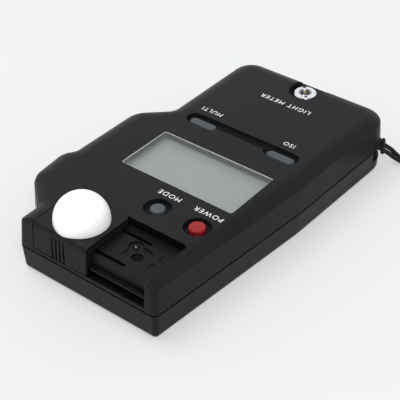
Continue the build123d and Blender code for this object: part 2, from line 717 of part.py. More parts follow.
with BuildPart() as detent_ball:
    with Locations((DETENT_X, DETENT_Y, 15.8)):
        Sphere(0.85)
finish(detent_ball, "detent_ball")

with BuildPart() as detent_spring:
    with BuildSketch(Plane.XZ.offset(-(DETENT_Y + 0.8))):
        with BuildLine():
            Polyline(
                (DETENT_X - 1.2, 14.7),
                (DETENT_X - 1.2, 14.95),
                (DETENT_X + 3.6, 14.95),
                (DETENT_X + 4.2, DECK_BOTTOM),
                (DETENT_X + 6.4, DECK_BOTTOM),
                (DETENT_X + 6.4, 14.85),
                (DETENT_X + 4.3, 14.85),
                (DETENT_X + 3.7, 14.7),
                close=True,
            )
        make_face()
    extrude(amount=1.6)
finish(detent_spring, "detent_spring")

# ---------------------------------------------------------------- sliding dome carriage
DOME_FLAT = 8.3      # the flange is cut flat at front and rear
with BuildPart() as carriage_blank:
    block(CARRIAGE_X0, CARRIAGE_X1, 36.15, 57, CARRIAGE_Z0, 22)
    rear = carriage_blank.edges().filter_by(Axis.Z).group_by(Axis.Y)[0]
    fillet(rear, 1.2)
    block(CARRIAGE_X0, CARRIAGE_X1, 52.7, 57, 13.1, 17.5)
    block(CARRIAGE_X0, CARRIAGE_X1, 54.0, 57, LIP_Z + 0.35, 13.5)
    add(front_form.part, mode=Mode.INTERSECT)

with BuildPart() as dome_carriage:
    add(carriage_blank.part)
    # seat of the dome's flange, entered from below
    with BuildSketch(Plane.XY.offset(CARRIAGE_Z0 - 1)):
        with Locations((DOME_X, SENSOR_Y)):
            Circle(8.8)
            Rectangle(30, 2 * DOME_FLAT, mode=Mode.INTERSECT)
    extrude(amount=2.2, mode=Mode.SUBTRACT)
    rod(DOME_X, SENSOR_Y, 16, 22, DOME_R + 0.1, mode=Mode.SUBTRACT)
    # grip grooves on the front
    for x in (8.0, 6.55, 5.1, 3.65):
        block(x - 0.35, x + 0.35, 54.12, 57, LIP_Z, 17.4, mode=Mode.SUBTRACT)
finish(dome_carriage, "dome_carriage")

with BuildPart() as diffuser_dome:
    with Locations((DOME_X, SENSOR_Y, DOME_CENTRE_Z)):
        Sphere(DOME_R, arc_size1=0, align=(Align.CENTER, Align.CENTER, Align.MIN))
    rod(DOME_X, SENSOR_Y, 17.2, DOME_CENTRE_Z, DOME_R)
    with BuildSketch(Plane.XY.offset(17.2)):
        with Locations((DOME_X, SENSOR_Y)):
            Circle(8.65)
            Rectangle(30, 2 * (DOME_FLAT - 0.1), mode=Mode.INTERSECT)
    extrude(amount=0.75)
    with Locations((DOME_X, SENSOR_Y, DOME_CENTRE_Z)):
        Sphere(DOME_R - 1.0, mode=Mode.SUBTRACT)
    rod(DOME_X, SENSOR_Y, 16, DOME_CENTRE_Z, DOME_R - 1.0, mode=Mode.SUBTRACT)
finish(diffuser_dome, "diffuser_dome")

with BuildPart() as dome_retainer:
    with BuildSketch(Plane.XY.offset(16.85)):
        with Locations((DOME_X, SENSOR_Y)):
            Circle(8.7)
            Rectangle(30, 2 * (DOME_FLAT - 0.05), mode=Mode.INTERSECT)
            Circle(4.9, mode=Mode.SUBTRACT)
    extrude(amount=0.35)
    # hooks that run in the guide slots
    for y in SLOT_YS:
        block(HOOK_X0, HOOK_X1, y - 0.4, y + 0.4, 14.0, 17.0)
        block(HOOK_X0, HOOK_X1, y - 1.2, y + 0.4, 14.0, 14.8)
finish(dome_retainer, "dome_retainer")

# ---------------------------------------------------------------- sync terminal
with BuildPart() as sync_terminal:
    rod(SYNC_X, SYNC_Y, SYNC_FLOOR, SYNC_TOP, SYNC_R)
    chamfer(sync_terminal.edges().group_by(Axis.Z)[-1], 0.3)
    rod(SYNC_X, SYNC_Y, 9.6, SYNC_FLOOR, 3.0)
    rod(SYNC_X, SYNC_Y, SYNC_TOP - SYNC_BORE, 20, SYNC_BORE_R, mode=Mode.SUBTRACT)
    rod(SYNC_X, SYNC_Y, 9, SYNC_TOP, SYNC_BORE_R - 0.25, mode=Mode.SUBTRACT)
    notch_turn = math.degrees(math.atan2(-0.77, 0.63))
    with Locations(Location((SYNC_X, SYNC_Y, SYNC_TOP), (0, 0, notch_turn))):
        Box(9.0, 0.9, 1.4, mode=Mode.SUBTRACT)
finish(sync_terminal, "sync_terminal")

with BuildPart() as sync_insulator:
    rod(SYNC_X, SYNC_Y, 9.6, SYNC_TOP - SYNC_BORE - 0.05, SYNC_BORE_R - 0.27)
    rod(SYNC_X, SYNC_Y, 9, 17, 0.62, mode=Mode.SUBTRACT)
finish(sync_insulator, "sync_insulator")

with BuildPart() as sync_contact:
    rod(SYNC_X, SYNC_Y, 8.6, SYNC_TOP - SYNC_BORE - 0.2, 0.6)
finish(sync_contact, "sync_contact")

with BuildPart() as sync_nut:
    with BuildSketch(Plane.XY.offset(12.9)):
        with Locations((SYNC_X, SYNC_Y)):
            RegularPolygon(4.1, 6)
            Circle(3.02, mode=Mode.SUBTRACT)
    extrude(amount=1.7)
finish(sync_nut, "sync_nut")

tube(
    "sync_lead_centre",
    [
        (SYNC_X, SYNC_Y, 8.6),
        (SYNC_X, SYNC_Y, 6.4),
        (-9.5, SYNC_Y - 0.4, 5.6),
        (-13.4, SYNC_Y + 0.6, 7.6),
        (-13.8, -46.0, 12.2),
        (-13.8, -42.6, 16.4),
        (-13.8, -38.4, 16.95),
        (-13.8, -33.6, 16.95),
        (-13.8, -29.4, 16.6),
        (-13.8, -26.4, 15.6),
        (-13.8, -24.8, 13.8),
        (-13.8, -24.8, BOARD_Z1),
    ],
    0.35,
)
tube(
    "sync_lead_shell",
    [
        (SYNC_X + 3.02, SYNC_Y, 11.2),
        (SYNC_X + 5.6, SYNC_Y, 11.4),
        (1.2, -46.2, 13.0),
        (1.6, -43.0, 16.2),
        (1.6, -38.6, 16.95),
        (1.6, -33.8, 16.95),
        (1.6, -29.4, 16.6),
        (1.6, -26.4, 15.6),
        (1.6, -24.8, 13.8),
        (1.6, -24.8, BOARD_Z1),
    ],
    0.35,
)

# ---------------------------------------------------------------- battery
with BuildPart() as battery_cell:
    with Locations(Location(((-30.3 + 19.05) / 2, CELL_Y, CELL_Z), (0, 90, 0))):
        Cylinder(CELL_R, 49.35)
    fillet(battery_cell.edges().filter_by(GeomType.CIRCLE), 0.6)
    with Locations(Location((19.5, CELL_Y, CELL_Z), (0, 90, 0))):
        Cylinder(2.75, 1.1)
finish(battery_cell, "battery_cell")

with BuildPart() as battery_spring:
    with BuildSketch(Plane.XZ.offset(-(CELL_Y + 3.0))):
        with BuildLine():
            Polyline(
                (-31.95, 5.0),
                (-31.2, 5.2),
                (-30.55, 7.0),
                (-30.32, 9.2),
                (-30.6, 11.4),
                (-30.85, 11.4),
                (-30.6, 9.2),
                (-30.85, 7.1),
                (-31.35, 5.7),
                (-31.65, 5.7),
                (-31.65, 13.2),
                (-31.95, 13.2),
                close=True,
            )
        make_face()
    extrude(amount=6.0)
finish(battery_spring, "battery_spring")

with BuildPart() as battery_plate:
    block(20.06, 20.45, CELL_Y - 4.0, CELL_Y + 4.0, 5.0, 13.0)
finish(battery_plate, "battery_plate")

tube(
    "battery_lead_plus",
    [
        (20.2, -33.4, 13.0),
        (20.2, -33.4, 14.4),
        (19.8, -31.6, 15.9),
        (19.0, -29.0, 16.0),
        (18.2, -26.6, 15.2),
        (17.8, -24.8, 13.7),
        (17.8, -24.8, BOARD_Z1),
    ],
    0.35,
)
tube(
    "battery_lead_minus",
    [
        (-31.55, -34.0, 13.2),
        (-31.5, -34.0, 14.5),
        (-31.0, -32.2, 15.9),
        (-29.9, -29.4, 16.0),
        (-28.4, -26.8, 15.2),
        (-27.2, -24.8, 13.7),
        (-27.2, -24.8, BOARD_Z1),
    ],
    0.35,
)

# ---------------------------------------------------------------- screws
with BuildPart() as case_screws:
    for index, (x, y) in enumerate(SCREWS):
        seat = 2.0 if index < 2 else 4.9
        rod(x, y, seat - 1.5, seat, 1.6)
        rod(x, y, seat, 15.3, 0.83)
        with Locations((x, y, seat - 1.5)):
            Box(2.0, 0.45, 1.0, mode=Mode.SUBTRACT)
            Box(0.45, 2.0, 1.0, mode=Mode.SUBTRACT)
finish(case_screws, "case_screws")

with BuildPart() as board_screws:
    for x, y in BOARD_SCREWS:
        rod(x, y, BOARD_Z0 - 1.2, BOARD_Z0, 1.5)
        rod(x, y, BOARD_Z0, 15.8, 0.78)
        with Locations((x, y, BOARD_Z0 - 1.2)):
            Box(1.8, 0.4, 0.9, mode=Mode.SUBTRACT)
            Box(0.4, 1.8, 0.9, mode=Mode.SUBTRACT)
finish(board_screws, "board_screws")

with BuildPart() as deck_screws:
    for x, y in DECK_SCREWS:
        rod(x, y, DECK_BOTTOM - 1.1, DECK_BOTTOM, 1.5)
        rod(x, y, DECK_BOTTOM, CEILING + 0.6, 0.78)
        with Locations((x, y, DECK_BOTTOM - 1.1)):
            Box(1.8, 0.4, 0.9, mode=Mode.SUBTRACT)
            Box(0.4, 1.8, 0.9, mode=Mode.SUBTRACT)
finish(deck_screws, "deck_screws")

# ---------------------------------------------------------------- strap
with BuildPart() as strap_post:
    rod(POST_X, POST_Y, NOTCH_Z0 - 0.88, NOTCH_Z1 + 1.08, POST_R)
finish(strap_post, "strap_post")

OUT = Vector(-0.78, -0.626).normalized()     # the way the strap leaves the corner
ACROSS = Vector(-OUT.Y, OUT.X)
HITCH_Z = 7.5


def from_post(along, across, z):
    """A point counted outward from the strap post."""
    at = Vector(POST_X, POST_Y) + OUT * along + ACROSS * across
    return (at.X, at.Y, z)


# two turns round the post and the loop that closes over the strands
with BuildPart() as strap_hitch:
    for z in (HITCH_Z, HITCH_Z + 1.5):
        with Locations((POST_X, POST_Y, z)):
            Torus(POST_R + 0.77, CORD_R - 0.01)
    with Locations(from_post(2.95, 0.0, 7.3)):
        Cylinder(CORD_R, 5.0)
    fillet(strap_hitch.edges().filter_by(GeomType.CIRCLE).group_by(Axis.Z)[-1], 0.5)
finish(strap_hitch, "strap_hitch")


def strand_points(side, turn_at, meet_at):
    """The route of one strand: one above the other at first, side by side on the floor."""
    gap = side * (CORD_R + 0.03)
    lying = CORD_R + 0.05
    return [
        from_post(3.78 + side * 0.12, side * 0.45, 5.7 + side * 0.68),
        from_post(5.05 + side * 0.34, side * 0.45, 4.85 + side * 0.6),
        from_post(6.9 + side * 0.32, side * 0.7, 2.95 + side * 0.3),
        from_post(9.6, gap, lying),
        from_post(turn_at[0], gap + turn_at[1], lying),
        from_post(meet_at[0], gap + meet_at[1], lying),
    ]


tube("strap_strand_a", strand_points(1, (12.9, 0.45), (16.1, 1.7)), CORD_R)
tube("strap_strand_b", strand_points(-1, (12.6, 0.36), (14.5, 1.05)), CORD_R)

with BuildPart() as strap_coil:
    with BuildSketch(Plane.XY):
        with Locations((COIL_X, COIL_Y)):
            Circle(COIL_R + 1.75)
            Circle(COIL_R - 1.75, mode=Mode.SUBTRACT)
    extrude(amount=4.6)
    fillet(strap_coil.edges(), 0.7)
finish(strap_coil, "strap_coil")

with BuildPart() as strap_knot:
    with Locations((COIL_X + 3.2, COIL_Y + 3.5, 1.8)):
        Sphere(1.75)
finish(strap_knot, "strap_knot")

print(len(NODES), "pieces")
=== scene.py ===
"""Looks of the handheld light meter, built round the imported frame. Metres, same frame as the part."""

import math

import bmesh
import bpy
from mathutils import Matrix, Vector


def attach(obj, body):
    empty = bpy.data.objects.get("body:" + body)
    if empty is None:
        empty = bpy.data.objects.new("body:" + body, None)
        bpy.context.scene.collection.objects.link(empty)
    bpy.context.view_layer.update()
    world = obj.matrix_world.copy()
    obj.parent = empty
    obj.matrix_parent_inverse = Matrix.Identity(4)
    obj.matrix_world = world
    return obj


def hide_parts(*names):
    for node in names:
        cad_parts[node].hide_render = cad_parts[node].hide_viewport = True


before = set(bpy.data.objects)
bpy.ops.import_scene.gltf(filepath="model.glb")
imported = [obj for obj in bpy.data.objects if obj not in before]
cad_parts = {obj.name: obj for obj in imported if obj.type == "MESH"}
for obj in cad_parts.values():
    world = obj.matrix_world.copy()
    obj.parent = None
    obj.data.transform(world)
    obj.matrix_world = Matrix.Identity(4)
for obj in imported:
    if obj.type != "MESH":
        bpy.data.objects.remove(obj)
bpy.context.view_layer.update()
scene = bpy.context.scene
scene.view_settings.view_transform = "Standard"
MM = 0.001


# ------------------------------------------------------------------ camera
def make_camera():
    """A long lens above the head's left corner."""
    data = bpy.data.cameras.new("camera")
    cam = bpy.data.objects.new("camera", data)
    scene.collection.objects.link(cam)
    right = Vector((-0.77966, -0.62607, -0.01318)).normalized()
    back = Vector((-0.50460, 0.61570, 0.60520)).normalized()
    up = back.cross(right).normalized()
    right = up.cross(back)
    turn = Matrix((right, up, back)).transposed().to_4x4()
    at = (-0.183324, 0.223163, 0.220826)
    cam.matrix_world = Matrix.Translation(at) @ turn
    data.sensor_width = 36.0
    data.lens = 105.79
    data.clip_start = 0.01
    data.clip_end = 20.0
    scene.camera = cam


make_camera()

# ------------------------------------------------------------------ materials
COORD = "ShaderNodeTexCoord"


class Mat:
    """A node material with short calls for the usual procedural layers."""

    def __init__(self, name, color, rough, metal=0.0, spec=0.5, coat=0.0, sheen=0.0):
        self.mat = bpy.data.materials.new(name)
        self.mat.use_nodes = True
        self.nodes = self.mat.node_tree.nodes
        self.links = self.mat.node_tree.links
        self.bsdf = self.nodes["Principled BSDF"]
        self.set("Base Color", (*color, 1.0))
        self.set("Roughness", rough)
        self.set("Metallic", metal)
        self.set("Specular IOR Level", spec)
        self.set("Coat Weight", coat)
        self.set("Coat Roughness", 0.1)
        self.set("Sheen Weight", sheen)
        self.set("IOR", 1.5)
        self.place = self.nodes.new(COORD).outputs["Object"]
        self.normal = None

    def set(self, socket, value):
        self.bsdf.inputs[socket].default_value = value

    def mapped(self, scale=(1, 1, 1)):
        """Object coordinates, stretched along the axes."""
        node = self.nodes.new("ShaderNodeMapping")
        node.inputs["Scale"].default_value = scale
        self.links.new(self.place, node.inputs["Vector"])
        return node.outputs["Vector"]

    def noise(self, scale, detail=3.0, rough=0.55, stretch=(1, 1, 1)):
        node = self.nodes.new("ShaderNodeTexNoise")
        node.inputs["Scale"].default_value = scale
        node.inputs["Detail"].default_value = detail
        node.inputs["Roughness"].default_value = rough
        self.links.new(self.mapped(stretch), node.inputs["Vector"])
        return node.outputs["Fac"]

    def cell_edges(self, scale):
        """Distance to the edges of a cell pattern."""
        node = self.nodes.new("ShaderNodeTexVoronoi")
        node.feature = "DISTANCE_TO_EDGE"
        node.inputs["Scale"].default_value = scale
        self.links.new(self.mapped(), node.inputs["Vector"])
        return node.outputs["Distance"]

    def ramp(self, fac, stops):
        node = self.nodes.new("ShaderNodeValToRGB")
        points = node.color_ramp.elements
        while len(points) < len(stops):
            points.new(0.5)
        for point, (at, color) in zip(points, stops):
            point.position = at
            point.color = (*color, 1.0)
        self.links.new(fac, node.inputs["Fac"])
        return node.outputs["Color"]

    def remap(self, fac, low, high, start=0.0, end=1.0):
        node = self.nodes.new("ShaderNodeMapRange")
        node.inputs["From Min"].default_value = start
        node.inputs["From Max"].default_value = end
        node.inputs["To Min"].default_value = low
        node.inputs["To Max"].default_value = high
        self.links.new(fac, node.inputs["Value"])
        return node.outputs["Result"]

    def mix(self, fac, shade, color):
        """A shade that turns into one plain colour as fac rises."""
        node = self.nodes.new("ShaderNodeMix")
        node.data_type = "RGBA"
        first, second = [socket for socket in node.inputs if socket.type == "RGBA"]
        self.links.new(fac, node.inputs[0])
        self.links.new(shade, first)
        second.default_value = (*color, 1.0)
        return [socket for socket in node.outputs if socket.type == "RGBA"][0]

    def color(self, socket):
        self.links.new(socket, self.bsdf.inputs["Base Color"])

    def rough(self, fac, low, high):
        self.links.new(self.remap(fac, low, high), self.bsdf.inputs["Roughness"])

    def bump(self, height, depth, strength=1.0):
        node = self.nodes.new("ShaderNodeBump")
        node.inputs["Strength"].default_value = strength
        node.inputs["Distance"].default_value = depth
        self.links.new(height, node.inputs["Height"])
        if self.normal is not None:
            self.links.new(self.normal, node.inputs["Normal"])
        self.normal = node.outputs["Normal"]
        self.links.new(self.normal, self.bsdf.inputs["Normal"])

    def edges(self, base, worn):
        """Lighter, rubbed edges where a ray bevel turns away from the true normal."""
        bevel = self.nodes.new("ShaderNodeBevel")
        bevel.samples = 4
        bevel.inputs["Radius"].default_value = 0.25 * MM
        plain = self.nodes.new("ShaderNodeNewGeometry").outputs["Normal"]
        dot = self.nodes.new("ShaderNodeVectorMath")
        dot.operation = "DOT_PRODUCT"
        self.links.new(bevel.outputs["Normal"], dot.inputs[0])
        self.links.new(plain, dot.inputs[1])
        fac = self.remap(dot.outputs["Value"], 1.0, 0.0, 0.80, 0.99)
        return self.mix(fac, base, worn)


def moulded(name, low, high, rough=0.5, grain=9000.0, depth=0.00003, spec=0.5):
    """Spark-eroded moulded plastic: a fine grain, faint mottling and lighter edges."""
    m = Mat(name, low, rough, spec=spec)
    broad = m.noise(60.0, 4.0, 0.6)
    shade = m.ramp(broad, [(0.3, low), (0.7, high)])
    m.color(m.edges(shade, tuple(min(1.0, c * 1.9 + 0.006) for c in high)))
    m.rough(m.noise(220.0, 3.0), rough - 0.05, rough + 0.07)
    m.bump(m.noise(grain, 2.0, 0.7), depth, 0.5)
    return m.mat


def moulded_gloss(name, low, high, rough, scratch=True, spec=0.5):
    """Smooth moulded plastic or glass, with fine scratches along y if it has any."""
    m = Mat(name, low, rough, spec=spec)
    m.color(m.ramp(m.noise(90.0, 4.0, 0.6), [(0.3, low), (0.7, high)]))
    m.rough(m.noise(500.0, 4.0, 0.7, (1.0, 0.15, 1.0)), rough - 0.06, rough + 0.1)
    if scratch:
        m.bump(m.noise(2600.0, 2.0, 0.6, (1.0, 0.08, 1.0)), 0.00001, 0.35)
    return m.mat


def metal(name, low, high, rough):
    """Metal with a fine grain drawn out along y."""
    m = Mat(name, low, rough, metal=1.0)
    m.color(m.ramp(m.noise(300.0, 4.0, 0.6), [(0.3, low), (0.7, high)]))
    m.rough(m.noise(900.0, 3.0, 0.6), rough - 0.06, rough + 0.1)
    m.bump(m.noise(5200.0, 2.0, 0.6, (1.0, 0.05, 1.0)), 0.000008, 0.4)
    return m.mat


case_mat = moulded("case_plastic", (0.0080, 0.0083, 0.0096), (0.0104, 0.0108, 0.0122), 0.38, spec=0.105)
button_mat = moulded("button_plastic", (0.030, 0.031, 0.034), (0.038, 0.039, 0.043), 0.40, spec=0.25)
grey_key_mat = moulded("grey_key", (0.052, 0.060, 0.063), (0.066, 0.076, 0.080), 0.42, 7000.0, spec=0.20)
red_key_mat = moulded("red_key", (0.235, 0.0085, 0.0095), (0.280, 0.014, 0.015), 0.38, 7000.0, spec=0.22)
frame_mat = moulded("holder_plastic", (0.012, 0.012, 0.013), (0.020, 0.020, 0.021), 0.55)
deck_mat = moulded_gloss("deck_plastic", (0.0055, 0.0057, 0.0066), (0.0080, 0.0083, 0.0092), 0.34, spec=0.10)
sensor_glass_mat = moulded_gloss("sensor_glass", (0.0012, 0.0012, 0.0016), (0.0018, 0.0018, 0.0022),
                                 0.10, scratch=False, spec=0.05)
chip_mat = moulded("chip_epoxy", (0.012, 0.012, 0.013), (0.02, 0.02, 0.021), 0.5)
rubber_mat = moulded("contact_rubber", (0.02, 0.02, 0.022), (0.034, 0.034, 0.036), 0.7)
steel_mat = metal("steel", (0.42, 0.43, 0.45), (0.60, 0.61, 0.62), 0.32)
dark_steel_mat = metal("dark_steel", (0.05, 0.05, 0.055), (0.09, 0.09, 0.10), 0.18)
plated_mat = metal("plated_ring", (0.74, 0.74, 0.76), (0.86, 0.86, 0.88), 0.20)
brass_mat = metal("brass", (0.62, 0.43, 0.16), (0.78, 0.58, 0.26), 0.30)
can_mat = metal("can_aluminium", (0.5, 0.51, 0.53), (0.66, 0.67, 0.69), 0.35)
lead_red_mat = moulded_gloss("lead_red", (0.34, 0.015, 0.015), (0.42, 0.03, 0.03), 0.4)
lead_black_mat = moulded_gloss("lead_black", (0.01, 0.01, 0.01), (0.018, 0.018, 0.018), 0.4)


def board_material():
    m = Mat("circuit_board", (0.01, 0.09, 0.045), 0.35, coat=0.4)
    tracks = m.cell_edges(900.0)
    m.color(m.ramp(tracks, [(0.04, (0.02, 0.16, 0.08)), (0.12, (0.008, 0.075, 0.04))]))
    m.bump(tracks, 0.00002, 0.4)
    return m.mat


def cell_material():
    """A plain wrapped battery: dark sleeve with a copper band towards the positive end."""
    m = Mat("cell_sleeve", (0.02, 0.02, 0.022), 0.25, coat=0.5)
    split = m.nodes.new("ShaderNodeSeparateXYZ")
    m.links.new(m.place, split.inputs[0])
    along = m.remap(split.outputs["X"], 0.0, 1.0, -0.0303, 0.0200)
    m.color(m.ramp(along, [(0.0, (0.42, 0.42, 0.44)), (0.02, (0.015, 0.015, 0.017)),
                           (0.70, (0.018, 0.018, 0.02)), (0.71, (0.55, 0.24, 0.09)),
                           (0.97, (0.55, 0.24, 0.09)), (0.98, (0.6, 0.6, 0.62))]))
    m.rough(m.noise(400.0, 3.0), 0.2, 0.34)
    return m.mat


def display_material():
    """Unlit display: grey-green, with faint mottling."""
    m = Mat("display_glass", (0.34, 0.37, 0.34), 0.33, spec=0.35)
    shade = m.ramp(m.noise(45.0, 3.0, 0.5), [(0.25, (0.212, 0.233, 0.218)), (0.75, (0.235, 0.255, 0.239))])
    m.color(shade)
    m.rough(m.noise(700.0, 2.0), 0.28, 0.38)
    return m.mat


def window_material():
    """Clear window: mostly lets light straight through, with a thin gloss."""
    m = Mat("window_clear", (0.55, 0.58, 0.56), 0.04, spec=0.5)
    m.set("Alpha", 0.10)
    m.rough(m.noise(800.0, 2.0), 0.03, 0.08)
    return m.mat


def dome_material():
    """Milky diffuser: white, a faint painted glow of its own, and a soft gloss."""
    m = Mat("diffuser_white", (0.88, 0.885, 0.89), 0.38, spec=0.45)
    m.color(m.ramp(m.noise(120.0, 3.0), [(0.3, (0.87, 0.875, 0.885)), (0.7, (0.90, 0.905, 0.91))]))
    # painted glow: a weak emission, though the dome is no lamp
    m.set("Emission Color", (0.97, 0.985, 1.0, 1.0))
    m.set("Emission Strength", 0.06)
    m.set("Subsurface Weight", 0.25)
    m.set("Subsurface Radius", (0.004, 0.004, 0.004))
    m.set("Subsurface Scale", 0.5)
    m.rough(m.noise(900.0, 2.0), 0.33, 0.42)
    m.bump(m.noise(3500.0, 2.0), 0.00001, 0.3)
    return m.mat


def yarn_material():
    """Black polyester yarn with fine fibres."""
    m = Mat("strap_yarn", (0.008, 0.008, 0.009), 0.66, spec=0.2, sheen=0.06)
    fibres = m.noise(9000.0, 3.0, 0.7)
    m.color(m.ramp(fibres, [(0.3, (0.0035, 0.0035, 0.004)), (0.7, (0.014, 0.014, 0.016))]))
    m.bump(fibres, 0.00004, 0.6)
    return m.mat


board_mat = board_material()
cell_mat = cell_material()
display_mat = display_material()
window_mat = window_material()
dome_mat = dome_material()
yarn_mat = yarn_material()

# ------------------------------------------------------------------ strap
POST = Vector((-0.0308, -0.0509))
OUT = Vector((-0.78, -0.626)).normalized()
ACROSS = Vector((-OUT.y, OUT.x))
COIL = Vector((-0.0505, -0.0587))
COIL_R = 8.25            # middle of the coil's turns
CORD_R = 0.75 * MM
LYING = 0.8              # height of a strand that lies on the floor
BRAID_SIDES = 24
BRAID_PITCH = 0.95 * MM


def from_post(along, across, z):
    """A point counted in millimetres outward from the strap post, in metres."""
    at = POST + OUT * along * MM + ACROSS * across * MM
    return Vector((at.x, at.y, z * MM))


COIL_TURNS = 2.5
STEPS = 14               # route points in each turn of the coil
LAYER = 1.55             # each turn lies on the one before it
TIE_ANGLE = math.radians(155.0)


def coil_height(i):
    """Height of the strand after i steps: flat, then up by one layer before the turn closes."""
    turn, step = divmod(i, STEPS)
    climb = max(0.0, (step - 9) / (STEPS - 9))
    return LYING + LAYER * (turn + climb * climb * (3 - 2 * climb))


def coil_place(radius, angle, z):
    """A point in metres from a radius in millimetres, an angle round the coil and a height."""
    return Vector((COIL.x + radius * MM * math.cos(angle), COIL.y + radius * MM * math.sin(angle), z * MM))


def coil_point(radius, turns, z):
    """A point on the coil, counted in turns from where the strands join it, lifted over the tie."""
    angle = ENTRY - turns * 2 * math.pi
    away = math.atan2(math.sin(angle - TIE_ANGLE), math.cos(angle - TIE_ANGLE))
    lift = 0.34 * math.exp(-(away / 0.42) ** 2)
    return coil_place(radius, angle, z + lift)


def strand_start(side):
    """Where a strand leaves the hitch, one above the other."""
    return from_post(3.78 + side * 0.12, side * 0.45, 5.7 + side * 0.68)


def strand_route(side, turn_at, meet_at, radius, ending):
    """Control points of one strand: out of the notch, down to the floor, then round the coil."""
    gap = side * 0.78
    points = [
        strand_start(side),
        from_post(5.05 + side * 0.34, side * 0.45, 4.85 + side * 0.6),
        from_post(6.9 + side * 0.32, side * 0.7, 2.95 + side * 0.3),
        from_post(9.6, gap, LYING),
        from_post(turn_at[0], gap + turn_at[1], LYING),
        from_post(meet_at[0], gap + meet_at[1], LYING),
    ]
    for i in range(1, int(COIL_TURNS * STEPS) + 1):
        points.append(coil_point(radius, i / STEPS, coil_height(i)))
    for radius_end, turns, z in ending:
        points.append(coil_point(radius_end, turns, z))
    return points


def nurbs(name, points):
    """A smooth curve object drawn along control points."""
    data = bpy.data.curves.new(name, "CURVE")
    data.dimensions = "3D"
    spline = data.splines.new("NURBS")
    spline.points.add(len(points) - 1)
    for point, at in zip(spline.points, points):
        point.co = (*at, 1.0)
    spline.order_u = 3
    spline.use_endpoint_u = True
    spline.resolution_u = 8
    obj = bpy.data.objects.new(name, data)
    scene.collection.objects.link(obj)
    return obj


def centreline(name, points):
    """Points along the smooth curve that a route's control points give."""
    obj = nurbs(name, points)
    mesh = bpy.data.meshes.new_from_object(obj)
    line = [v.co.copy() for v in mesh.vertices]
    bpy.data.meshes.remove(mesh)
    bpy.data.objects.remove(obj)
    return line


def even(line, step, closed=False):
    """The same line with points an even step apart."""
    if closed:
        line = line + [line[0]]
    lengths = [0.0]
    for a, b in zip(line, line[1:]):
        lengths.append(lengths[-1] + (b - a).length)
    count = max(8, round(lengths[-1] / step))
    out = []
    k = 0
    for i in range(count if closed else count + 1):
        want = lengths[-1] * i / count
        while k < len(line) - 2 and lengths[k + 1] < want:
            k += 1
        share = (want - lengths[k]) / max(1e-12, lengths[k + 1] - lengths[k])
        out.append(line[k].lerp(line[k + 1], min(1.0, max(0.0, share))))
    return out, lengths[-1]


def braid_height(around, along):
    """Height of a braid of eight yarns: two sets of helices that pass over and under each other."""
    u = 2 * around / math.pi + along
    v = 2 * around / math.pi - along
    over = (math.floor(u) + math.floor(v)) % 2
    yarn = u if over else v
    return abs(math.sin(math.pi * (yarn - math.floor(yarn)))) ** 0.6


def facet(rings, bm, closed=True):
    """Faces between each ring of vertices and the next."""
    for a, b in zip(rings, rings[1:] + rings[:1] if closed else rings[1:]):
        for j in range(len(a)):
            k = (j + 1) % len(a)
            bm.faces.new((a[j], a[k], b[k], b[j]))


def braided(bm, line, radius, closed=False):
    """A braided round cord along a line, added to bm."""
    points, length = even(line, BRAID_PITCH / 6, closed)
    count = len(points)
    tangents = []
    for i in range(count):
        a = points[i - 1] if closed or i else points[0]
        b = points[(i + 1) % count] if closed else points[min(i + 1, count - 1)]
        tangents.append((b - a).normalized())
    side = tangents[0].orthogonal().normalized()
    rings = []
    for i, (at, tangent) in enumerate(zip(points, tangents)):
        side = (side - tangent * side.dot(tangent)).normalized()
        other = tangent.cross(side)
        ring = []
        for j in range(BRAID_SIDES):
            angle = 2 * math.pi * j / BRAID_SIDES
            depth = 0.84 + 0.16 * braid_height(angle, length * i / count / BRAID_PITCH)
            outward = side * math.cos(angle) + other * math.sin(angle)
            ring.append(bm.verts.new(at + outward * radius * depth))
        rings.append(ring)
    facet(rings, bm, closed=False)
    if closed:
        # the frame has turned along the line, so the last ring meets the first one shifted
        first, last = rings[0], rings[-1]
        shift = min(range(BRAID_SIDES), key=lambda k: (first[k].co - last[0].co).length)
        facet([last, first[shift:] + first[:shift]], bm, closed=False)
    else:
        bm.faces.new(list(reversed(rings[0])))
        bm.faces.new(rings[-1])
    return points, length


def piece(name, bm, material, smooth=True):
    """Makes a piece of the body from bm, with one material."""
    for face in bm.faces:
        face.smooth = smooth
    bmesh.ops.recalc_face_normals(bm, faces=bm.faces)
    mesh = bpy.data.meshes.new(name)
    bm.to_mesh(mesh)
    bm.free()
    mesh.materials.append(material)
    obj = bpy.data.objects.new(name, mesh)
    scene.collection.objects.link(obj)
    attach(obj, "body")
    return obj


ENTRY = math.atan2(ACROSS.y, ACROSS.x)
KNOT = Vector((COIL.x + 3.2 * MM, COIL.y + 3.5 * MM, 1.15 * MM))

# the turns lie in two columns; both strands then drop inside the coil to the knot
ENDING_A = [(8.9, 2.55, 3.9), (8.4, 2.60, 3.85), (7.6, 2.64, 3.55), (6.6, 2.675, 2.7), (5.6, 2.705, 1.7)]
ENDING_B = [(7.3, 2.54, 3.9), (6.8, 2.58, 3.6), (6.1, 2.615, 2.9), (5.4, 2.65, 1.9), (4.9, 2.68, 1.3)]
route_a = strand_route(1, (12.9, 0.45), (16.1, 1.7), 9.0, ENDING_A)
route_b = strand_route(-1, (12.6, 0.36), (14.5, 1.05), 7.5, ENDING_B)

for name, route, nodes in (
    ("strap_strand_a_braid", route_a, ["strap_strand_a", "strap_coil"]),
    ("strap_strand_b_braid", route_b, ["strap_strand_b"]),
):
    bm = bmesh.new()
    path, length = braided(bm, centreline(name, route), CORD_R)
    strand = piece(name, bm, yarn_mat)
    for node in nodes:
        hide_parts(node)


